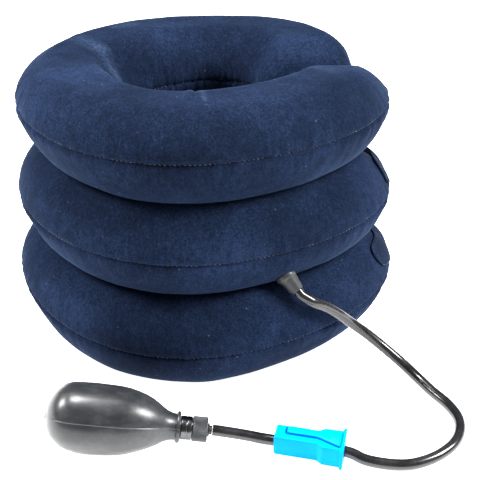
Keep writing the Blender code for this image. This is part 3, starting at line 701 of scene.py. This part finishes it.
def relief(tier, along, across, side, from_seam, from_end, point):
    """Height of the cloth over its smooth shape, in mm."""
    seed = panel_seed(tier, side)
    near = min(from_seam, from_end) / MM
    groove = -GROOVE_DEPTH * bump_curve(near, GROOVE_REACH)
    groove += ROLL_HEIGHT * bump_curve(near - ROLL_FROM_SEAM, ROLL_REACH)
    fade = math.exp(-near / PUCKER_FADE)
    gathered = 0.35 + 0.65 * clamped(0.5 + noise.noise(Vector((along * 12, seed, 1))))
    ripple = noise.noise(Vector((along / (4.6 * MM), seed, near / 26)))
    ripple += 0.5 * noise.noise(Vector((along / (2.3 * MM), seed + 5, near / 14)))
    end_folds = math.exp(-from_end / (END_FOLD_FADE * MM))
    end_folds *= END_FOLD_HEIGHT * noise.noise(Vector((across * 5, seed, from_end * 25)))
    pinch = PINCH_HEIGHT * bump_curve(near, PINCH_REACH) * front_end_share(along)
    return (groove + pinch + PUCKER_HEIGHT * gathered * fade * ripple + end_folds * (1 - fade)
            + billow(tier, side, point) * min(1.0, near / SWELL_FROM_SEAM)
            + creases(tier, along, across, side))


def panel_grid(tier, side):
    """Rows of points over one velour panel, with its surface relief."""
    places, shares = panel_places(), panel_across()
    smooth = [[tier_point(tier, along, across, side) for across in shares] for along in places]
    rows = []
    for index, row in enumerate(smooth):
        before, after = smooth[max(0, index - 1)], smooth[min(len(smooth) - 1, index + 1)]
        arc = [0.0]
        for p, q in zip(row, row[1:]):
            arc.append(arc[-1] + (q - p).length)
        raised = []
        for step, point in enumerate(row):
            across_run = row[min(len(row) - 1, step + 1)] - row[max(0, step - 1)]
            along_run = after[step] - before[step]
            normal = across_run.cross(along_run).normalized() * side
            from_end = min(places[index], ARM_LENGTH - places[index])
            from_seam = min(arc[step], arc[-1] - arc[step])
            height = relief(tier, places[index], shares[step], side, from_seam, from_end, point)
            place = point + normal * height * MM
            place.z = max(place.z, FLOOR_GAP)
            raised.append(place)
        rows.append(raised)
    return rows


def folded(rows, tier, side):
    """Add the turned-in edge all round a panel."""
    places = panel_places()
    for row in rows:
        inward = (row[-1] - row[0]).normalized() * SEAM_FOLD
        inner, outer = row[0], row[-1]
        row.insert(0, Vector((*(inner + inward).xy, inner.z)))
        row.append(Vector((*(outer - inward).xy, outer.z)))
    turned_in = []
    for end, further in ((0, 4), (-1, -5)):
        towards = tier_point(tier, places[further], 0, side)
        edge = tier_point(tier, places[end], 0, side)
        inward = flat_direction(towards - edge) * SEAM_FOLD
        turned_in.append([point + inward for point in rows[end]])
    return [turned_in[0], *rows, turned_in[1]]


def deflate_with(piece, tier):
    """Ride on the tier's body, with a mesh of its own."""
    shape = TIERS[tier]
    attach(piece, shape["body"])
    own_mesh(piece)


def build_panel(tier, side, material):
    name = f"{tier}_cover_{'upper' if side > 0 else 'lower'}"
    rows = folded(panel_grid(tier, side), tier, side)
    piece = sheet(name + "_velour", rows, material, 75, flip=side > 0)
    modify(piece, "cloth", "SOLIDIFY", thickness=CLOTH, offset=-1)
    apply_modifiers(piece)
    deflate_with(piece, tier)
    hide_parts(name)


def modify(piece, name, kind, **settings):
    made = piece.modifiers.new(name, kind)
    for key, value in settings.items():
        setattr(made, key, value)


def apply_modifiers(piece):
    evaluated = piece.evaluated_get(bpy.context.evaluated_depsgraph_get())
    mesh = bpy.data.meshes.new_from_object(evaluated)
    piece.modifiers.clear()
    piece.data = mesh


# --- stitches ---
def add_stitch(bm, centre, direction, outward, radius):
    """One stitch: a short thread that dips at both ends."""
    sideways = direction.cross(outward).normalized()
    rings = []
    for share, thickness in ((-0.5, 0.35), (-0.36, 0.8), (0.0, 1.0), (0.36, 0.8), (0.5, 0.35)):
        middle = centre + STITCH_LENGTH * (direction * share - outward * 0.55 * share ** 2)
        rings.append([middle + (sideways * math.cos(turn) + outward * math.sin(turn))
                      * radius * thickness for turn in (math.pi * step / 3 for step in range(6))])
    skin_faces(bm, rings)


def stitched(name, line, material, pitch, radius, slant):
    """Stitches at an even pitch along a line of (point, outward) pairs."""
    bm = bmesh.new()
    travelled, due = 0.0, pitch / 2
    for (p, out_p), (q, _) in zip(line, line[1:]):
        step = (q - p).length
        while due <= travelled + step:
            point = p.lerp(q, (due - travelled) / step)
            along = (q - p).normalized()
            sideways = along.cross(out_p).normalized()
            direction = (along * math.cos(slant) + sideways * math.sin(slant)).normalized()
            add_stitch(bm, point, direction, out_p, radius)
            due += pitch
        travelled += step
    return finish_mesh(name, bm, material, face_outward=True)


def seam_line(tier):
    """The seam round a tier: its outer edge, one end, its inner edge and the other end."""
    places = [ARM_LENGTH * step / 480 for step in range(481)]
    line = []
    for across, run in ((1, places), (-1, places[::-1])):
        for along in run:
            point = tier_point(tier, along, across, 1) - UP * SEAM_GAP / 2
            outward = flat_direction(point - tier_point(tier, along, 0, 1))
            line.append((point - outward * 0.75 * MM, outward))
    return line


def build_seam(tier, material):
    piece = stitched(f"{tier}_seam_stitches", seam_line(tier), material, pitch=3.3 * MM,
                     radius=0.34 * MM, slant=0.45)
    deflate_with(piece, tier)
    return piece


# --- what is inside the covers ---
def build_bladder(tier, material):
    run = ARM_LENGTH - 2 * BLADDER_INSET
    rings = []
    for along in (BLADDER_INSET + run * step / 110 for step in range(111)):
        rings.append([tier_point(tier, along, math.cos(2 * math.pi * step / BLADDER_SIDES),
                                 1 if step < BLADDER_SIDES / 2 else -1, inset=BLADDER_INSET)
                      for step in range(BLADDER_SIDES)])
    piece = lofted(f"{tier}_bladder_film", rings, material)
    deflate_with(piece, tier)
    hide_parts(f"{tier}_bladder")


def build_passage(name, plane, tier, material):
    """The flanged spool that joins two bladders, at the back of the neck."""
    angle = math.radians(90)
    y = centre_radius(angle) + TIERS["middle"]["shift_y"]
    normal = Vector((0, -plane[1], 1)).normalized()
    corners = ((-10, 5), (-10, 11), (-8.6, 11), (-8.6, 8), (8.6, 8), (8.6, 11), (10, 11), (10, 5))
    piece = turned(name + "_spool", rounded_profile(corners, 0.4), material, steps=64)
    centre = Vector((0, y, plane_height(plane, y)))
    piece.data.transform(axis_frame(centre, normal, up=Vector((1, 0, 0))))
    deflate_with(piece, tier)
    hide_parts(name)


# --- closure straps ---
def tape_point(tier, along, share, off):
    """A point off the tube's outside, at a share of its half height above the seam."""
    across = (1 - (abs(share) / CREST_FLATTENING) ** (1 / SEAM_CUSP)) ** (1 / CREST_POWER)
    side = 1 if share >= 0 else -1
    skin = tier_point(tier, along, across, side, closed_ends=False)
    lift = billow(tier, side, skin) * min(1.0, 2.5 * abs(share)) * MM
    return tier_point(tier, along, across, side, -off - lift, closed_ends=False)


def tape_grid(tier, start, length, half_height, off_at, slant=0.0):
    """Rows of points over a tape with rounded corners."""
    centre = STRAPS[tier]["centre"]
    columns = round(length / TAPE_STEP)
    rows = []
    for column in range(columns + 1):
        travelled = length * column / columns
        from_end = min(travelled, length - travelled, TAPE_CORNER)
        rounded = 1 - math.sqrt(max(0.0, 1 - (1 - from_end / TAPE_CORNER) ** 2))
        half = half_height * (1 - 0.34 * rounded)
        cut = slant * max(0.0, 1 - travelled / STRAP_SLANT_REACH) ** 1.5
        middle = centre + math.copysign(cut / 2, centre)
        row = []
        for step in range(-TAPE_ROWS_EACH, TAPE_ROWS_EACH + 1):
            share = step / TAPE_ROWS_EACH
            height = middle + (half - cut / 2) * share
            row.append(tape_point(tier, start + travelled, height, off_at(travelled, share)))
        rows.append(row)
    return rows


def build_tape(tier, name, rows, thickness, material):
    piece = sheet(f"{tier}_{name}_tape", rows, material, 50, flip=True)
    modify(piece, "tape", "SOLIDIFY", thickness=thickness, offset=1)
    modify(piece, "soft_edge", "BEVEL", width=thickness * 0.3, segments=2, limit_method="ANGLE")
    apply_modifiers(piece)
    deflate_with(piece, tier)
    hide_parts(f"{tier}_{name}")


def build_straps(tier, materials):
    """The loop patch on the back arm, and the strap that crosses the opening to reach it."""
    patch = tape_grid(tier, PATCH_START, PATCH_LENGTH, PATCH_HALF_HEIGHT, lambda *at: PATCH_LIFT)
    build_tape(tier, "loop_patch", patch, PATCH_THICKNESS, materials["loops"])
    shape = STRAPS[tier]
    seed = 11.0 * list(TIERS).index(tier)

    def off_at(travelled, share):
        """Height off the tube: over the patch on the back arm, with a little curl at its front."""
        over_patch = 0.9 * crossed_share(shape["start"] + travelled)
        curl = 0.4 * bump_curve(travelled, 7 * MM)
        wave = 0.2 * noise.noise(Vector((travelled * 60, share * 0.8, seed)))
        return (shape["lift"] + over_patch + curl + wave) * MM

    rows = tape_grid(tier, shape["start"], shape["length"], STRAP_HALF_HEIGHT, off_at,
                     shape["slant"])
    build_tape(tier, "closure_strap", rows, STRAP_THICKNESS, materials["strap"])
    edge = 1                        # the stitches follow the grid's second row from its edge
    loop = [row[edge] for row in rows[1:-1]] + rows[-2][edge:-edge]
    loop += [row[-1 - edge] for row in rows[-2:0:-1]] + rows[1][-1 - edge:edge:-1]
    line = []
    for point in [*loop, loop[0]]:
        outward = flat_direction(point)
        line.append((point + outward * 1.35 * MM, outward))
    stitches = stitched(f"{tier}_strap_stitches", line, materials["thread"], pitch=3.0 * MM,
                        radius=0.3 * MM, slant=0.0)
    deflate_with(stitches, tier)


def build_collar(materials):
    for tier in TIERS:
        for side in (-1, 1):
            build_panel(tier, side, materials["velour"])
        build_seam(tier, materials["thread"])
        build_bladder(tier, materials["film"])
        build_straps(tier, materials)
    build_passage("lower_air_passage", TIERS["bottom"]["high"], "middle", materials["pale"])
    build_passage("upper_air_passage", TIERS["middle"]["high"], "top", materials["pale"])


# --- the hose and its port ---
def port_point():
    return tier_point("middle", place_at(PORT_ANGLE), PORT_ACROSS, -1)


def hose_path():
    """The hose's axis from the strain relief to the pump's barb, every few millimetres."""
    port_exit = port_point() + PORT_AXIS * (RELIEF_LENGTH + SEAM_GAP)
    pump_exit = PUMP_TAIL + PUMP_DIRECTION * PUMP_EXIT
    run = CLAMP_RIGHT - CLAMP_LEFT
    through = [CLAMP_LEFT + run * share for share in (1.04, 0.5, -0.04)]
    down, onward = ([Vector(point) * MM for point in part] for part in (ROUTE_DOWN, ROUTE_PUMP))
    route = [port_exit + PORT_AXIS * HOSE_STRAIGHT, *down, *through, *onward,
             pump_exit + PUMP_DIRECTION * HOSE_STRAIGHT]
    return [port_exit, *smooth_path(route, 2.5 * MM), pump_exit]


def build_hose(material):
    path = hose_path()
    turns = [2 * math.pi * side / HOSE_SIDES for side in range(HOSE_SIDES)]
    rings = []
    sideways = PORT_AXIS.cross(UP).normalized()
    for index, point in enumerate(path):
        following = path[min(len(path) - 1, index + 1)]
        forward = (following - path[max(0, index - 1)]).normalized()
        sideways = (sideways - forward * sideways.dot(forward)).normalized()
        third = forward.cross(sideways)
        radius = HOSE_RADIUS * (1 + 0.012 * noise.noise(point * 60))
        rings.append([point + (sideways * math.cos(turn) + third * math.sin(turn)) * radius
                      for turn in turns])
    hose = lofted("hose_tube", rings, material)
    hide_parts("hose")
    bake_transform(hose)
    return hose, path


def build_relief(material):
    corners = ((-2, 3.6), (-2, 7.9), (1.6, 7.9), (2.6, 6.9), (12.6, 5.15), (14, 4.9), (14, 3.6))
    cone = turned("strain_relief_cone", rounded_profile(corners, 0.6, 4), material)
    cone.matrix_world = axis_frame(port_point(), PORT_AXIS)
    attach(cone, "lower_interface")
    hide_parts("strain_relief")
    return cone


# --- the pump ---
PUMP_FRAME = axis_frame(PUMP_TAIL, PUMP_DIRECTION)
# distance from the tail, radius above and below the axis, in mm
BULB_STATIONS = ((2.5, 7.4, 7.2), (3.4, 10.2, 9.2), (5.0, 13.6, 12.6), (7.0, 16.8, 15.6),
                 (10.0, 20.4, 18.0), (14.0, 23.4, 20.7), (19.0, 24.9, 22.8), (26.0, 25.2, 24.3),
                 (35.0, 25.2, 24.5), (45.0, 25.0, 24.1), (53.0, 24.7, 23.2), (59.0, 24.0, 21.9),
                 (65.0, 22.6, 19.8), (70.0, 20.9, 18.1), (75.0, 18.6, 16.0), (80.0, 15.6, 13.6),
                 (84.0, 12.7, 11.0), (87.0, 10.9, 9.9), (90.0, 9.7, 9.3), (92.4, 9.3, 9.2),
                 (93.0, 9.9, 9.9), (93.4, 10.9, 10.9), (94.3, 11.1, 11.1), (95.3, 10.9, 10.9),
                 (95.8, 9.9, 9.9))
BULB_WALL = 2.2
PARTING_LINES = (math.radians(146), math.radians(146) + math.pi)     # angles round its axis
PARTING_OFFSETS = (-0.045, -0.03, -0.018, -0.009, 0.0, 0.009, 0.018, 0.03, 0.045)


def build_bulb(material):
    outer = list(BULB_STATIONS)
    inner = [(95.8, 6.9, 6.9), (84.0, 6.9, 6.9)]
    inner += [(along, above - BULB_WALL, below - BULB_WALL)
              for along, above, below in outer[16:4:-1]]
    inner += [(7.0, 9.6, 9.6), (6.5, 3.6, 3.6), (2.5, 3.6, 3.6)]
    turns = [2 * math.pi * step / 112 for step in range(112)]
    turns += [centre + offset for centre in PARTING_LINES for offset in PARTING_OFFSETS]
    turns = sorted(turn % (2 * math.pi) for turn in turns)
    rings = []
    for turn in turns:
        lean = 0.5 + 0.5 * math.sin(turn)
        ridge = max(bump_curve(math.remainder(turn - centre, 2 * math.pi), 0.013)
                    for centre in PARTING_LINES)
        ring = []
        for index, (along, above, below) in enumerate(outer + inner):
            radius = below + (above - below) * lean
            if index < len(outer):
                spot = Vector((along * 0.05, math.cos(turn), math.sin(turn)))
                radius += 0.28 * ridge * min(1.0, radius / 12) + 0.16 * noise.noise(spot * 1.8)
            ring.append(around_x(along, radius, turn))
        rings.append(ring)
    bulb = lofted("bulb_body", rings, material, 50, closed_path=True)
    bulb.data.transform(PUMP_FRAME)
    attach(bulb, "base")
    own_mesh(bulb)
    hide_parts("bulb")


def pump_piece(name, corners, material, body, node, slot, rounding_mm, **options):
    piece = turned(name, rounded_profile(corners, rounding_mm), material, **options)
    piece.matrix_world = PUMP_FRAME
    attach(piece, body)
    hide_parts(node)


def build_pump(materials):
    build_bulb(materials["bulb"])
    pump_piece("intake_valve_nub", (
        (-0.4, 0.9), (-0.4, 2.4), (0.3, 3.7), (1.2, 4.4), (2.3, 4.5), (2.3, 3.2), (7.0, 3.2),
        (7.0, 4.4), (8.4, 4.0), (10.4, 3.6), (10.4, 1.4), (9.6, 1.4), (9.6, 2.75), (3.6, 2.75),
        (2.6, 0.9)),
        materials["pale"], "base", "intake_valve_body", "fitting_plastic", 0.25)
    pump_piece("valve_sleeve", (
        (80.5, 1.6), (80.5, 5.6), (82.5, 6.5), (96.1, 6.5), (96.1, 8.1), (96.6, 8.3),
        (99.9, 8.3), (100.1, 8.1), (100.5, 8.1), (100.7, 8.3), (103.5, 8.3), (104.0, 8.0),
        (104.0, 5.2), (106.2, 5.2), (106.2, 4.4), (107.8, 4.4), (107.8, 5.2), (114.9, 5.2),
        (114.9, 1.5), (90.5, 1.5), (89.5, 2.9), (83.5, 2.9), (81.8, 1.6)),
        materials["metal"], "base", "valve_body", "valve_metal", 0.15)

    def fluted(along, radius, turn):
        """The knob's grip, cut with fine flutes."""
        if radius < 8.2 or not 105.0 < along < 114.4:
            return radius
        return radius - 0.16 + 0.16 * math.cos(56 * turn)

    pump_piece("release_knob_fluted", (
        (104.4, 5.6), (104.4, 8.2), (104.9, 8.75), (105.3, 8.8), (105.7, 8.8), (113.7, 8.8),
        (114.1, 8.8), (114.6, 8.7), (115.0, 8.2), (115.0, 5.6)), materials["knob"], "release_knob",
        "release_knob", "valve_metal", 0.15, steps=448, radius_at=fluted, smooth_angle=60)
    pump_piece("hose_barb_ring", (
        (115.3, 1.4), (115.3, 4.6), (116.3, 4.6), (116.5, 3.2), (118.2, 3.2), (118.2, 1.4)),
        materials["dark"], "base", "hose_barb", "dark_plastic", 0.2)


# --- the clamp ---
def prism(name, corners, radius, low, high, material, bevel):
    """Extrude a rounded plan outline between two heights, with soft edges; all in mm."""
    outline = [Vector((*corner, 0)) for corner in rounded_profile(corners, radius, 5)]
    centre = sum(outline, Vector()) / len(outline)
    lower = []
    for step in (3, 2, 1, 0):
        turn = math.pi / 2 * step / 3
        lower.append((low + bevel * (1 - math.sin(turn)), bevel * (1 - math.cos(turn))))
    upper = [(low + high - z, inset) for z, inset in reversed(lower)]
    rings = []
    for z, inset in lower + upper:
        shrunk = [point + (centre - point).normalized() * inset for point in outline]
        rings.append([Vector((*point.xy, z)) * MM for point in shrunk])
    return lofted(name, rings, material, 30)


def section(x, half_width, height, corner=1.4, low=0.0):
    """A rounded rectangle across the clamp at x, in mm."""
    corners = ((-half_width, low), (half_width, low), (half_width, height), (-half_width, height))
    return [Vector((x, y, z)) for y, z in rounded_profile(corners, corner, 5)]


def circle(x, radius, count, height):
    """A circle across the clamp at x in mm, starting where a section starts."""
    points = []
    for step in range(count):
        turn = 2 * math.pi * (step + 0.5) / count - 0.75 * math.pi - math.pi / count * 5
        points.append(Vector((x, radius * math.cos(turn), height + radius * math.sin(turn))))
    return points


# the clamp's outside, from its left end: x, half width, height, corner radius, underside, in mm
CLAMP_SECTIONS = (
    (0.8, 6.2, 15.8, 1.4, 0.8), (1.3, 6.8, 16.4, 1.4, 0.2), (2.1, 7.0, 16.6), (16.0, 7.0, 16.7),
    (30.4, 7.0, 16.8), (31.2, 7.15, 16.8), (32.4, 7.9, 16.8), (34.2, 9.4, 16.8),
    (35.2, 9.9, 16.8), (36.2, 10.0, 16.8), (46.8, 10.1, 16.9), (47.5, 10.4, 17.0),
    (47.9, 11.3, 17.2, 1.0), (48.2, 11.9, 17.4, 0.8), (48.7, 12.1, 17.5, 0.8),
    (49.5, 12.1, 17.5, 0.8), (50.0, 11.8, 17.2, 0.8))


def build_clamp(material):
    run = CLAMP_RIGHT - CLAMP_LEFT
    clamp_frame = axis_frame(Vector((*CLAMP_LEFT.xy, CLAMP_FLOOR)), run)
    axis_height = (CLAMP_LEFT.z - CLAMP_FLOOR) / MM
    bore = 4.6
    shell = [section(*sizes) for sizes in CLAMP_SECTIONS]
    count = len(shell[0])
    back = [circle(50.0, bore + 0.4, count, axis_height), circle(49.6, bore, count, axis_height)]
    front = [circle(1.2, bore, count, axis_height), circle(0.8, bore + 0.4, count, axis_height)]
    rings = [[point * MM for point in ring] for ring in shell + back + front]
    body = lofted("clamp_shell", rings, material, 32, closed_path=True)
    lever_corners = ((9, -1.4), (31, -1.4), (47.5, -7.6), (47.5, 7.6), (35, 5.2), (9, 5.2))
    recess_corners = ((7.7, -2.2), (31.2, -2.2), (47.7, -8.3), (47.7, 8.0), (34.9, 5.6), (7.7, 5.6))
    recess = prism("clamp_recess", recess_corners, 2.4, 14.3, 20.0, material, 0.2)
    modify(body, "recess", "BOOLEAN", operation="DIFFERENCE", solver="EXACT", object=recess)
    apply_modifiers(body)
    body.data.set_sharp_from_angle(angle=math.radians(32))
    bpy.data.objects.remove(recess, do_unlink=True)
    lever = prism("clamp_tongue", lever_corners, 2.2, 15.0, 18.2, material, 0.8)
    for piece, rides_on, node in ((body, "base", "clamp_body"),
                                  (lever, "clamp_lever", "clamp_lever")):
        piece.matrix_world = clamp_frame
        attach(piece, rides_on)
        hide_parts(node)
    return body, lever


# --- stage ---
def aimed(name, data, at, target):
    made = link(name, data)
    made.location = at
    made.rotation_euler = (target - Vector(at)).to_track_quat("-Z", "Y").to_euler()
    return made


def add_camera():
    data = bpy.data.cameras.new("camera")
    data.lens = LENS
    bpy.context.scene.camera = aimed("camera", data, CAMERA_AT, LOOK_AT)


def add_light(name, at, size, power):
    data = bpy.data.lights.new(name, "AREA")
    data.shape = "RECTANGLE"
    data.size, data.size_y = size
    data.energy = power
    aimed(name, data, at, LIGHTS_AIM)


def add_stage():
    bm = bmesh.new()
    bmesh.ops.create_grid(bm, x_segments=1, y_segments=1, size=FLOOR_SIZE)
    made = Shader("floor", Roughness=0.9, Specular_IOR_Level=0.1, Emission_Color=(1, 1, 1, 1),
                  Emission_Strength=FLOOR_GLOW)
    made.surface(Base_Color=made.ramp(made.noise(3, 2, 0.5), (0.3, (0.88, 0.88, 0.88)),
                          (0.7, (0.90, 0.90, 0.90))))
    floor = finish_mesh("floor", bm, made.material)
    world = bpy.data.worlds.new("studio")
    world.use_nodes = True
    background = world.node_tree.nodes["Background"]
    background.inputs["Color"].default_value = (1, 1, 1, 1)
    background.inputs["Strength"].default_value = SKY
    bpy.context.scene.world = world
    bpy.context.scene.view_settings.view_transform = "Standard"
    add_light("overhead", (-0.20, 0.10, 1.30), (0.35, 0.25), 19)
    add_light("left", (-0.98, 0.0, 0.85), (0.35, 0.45), 20)
    add_light("right", (1.0, -0.20, 0.95), (0.45, 0.55), 31)


def main():
    add_camera()
    materials = build_materials()
    hose, path = build_hose(materials["hose"])
    cone = build_relief(materials["port"])
    clamp_parts = build_clamp(materials["clamp"])
    build_collar(materials)
    build_pump(materials)
    for node, finish in (("port_connector", "port"), ("intake_valve_ball", "metal"),
                         ("outlet_valve_ball", "metal"), ("release_seal", "dark")):
        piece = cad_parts[node]
        piece.data.materials.clear()
        piece.data.materials.append(materials[finish])
    add_stage()


main()
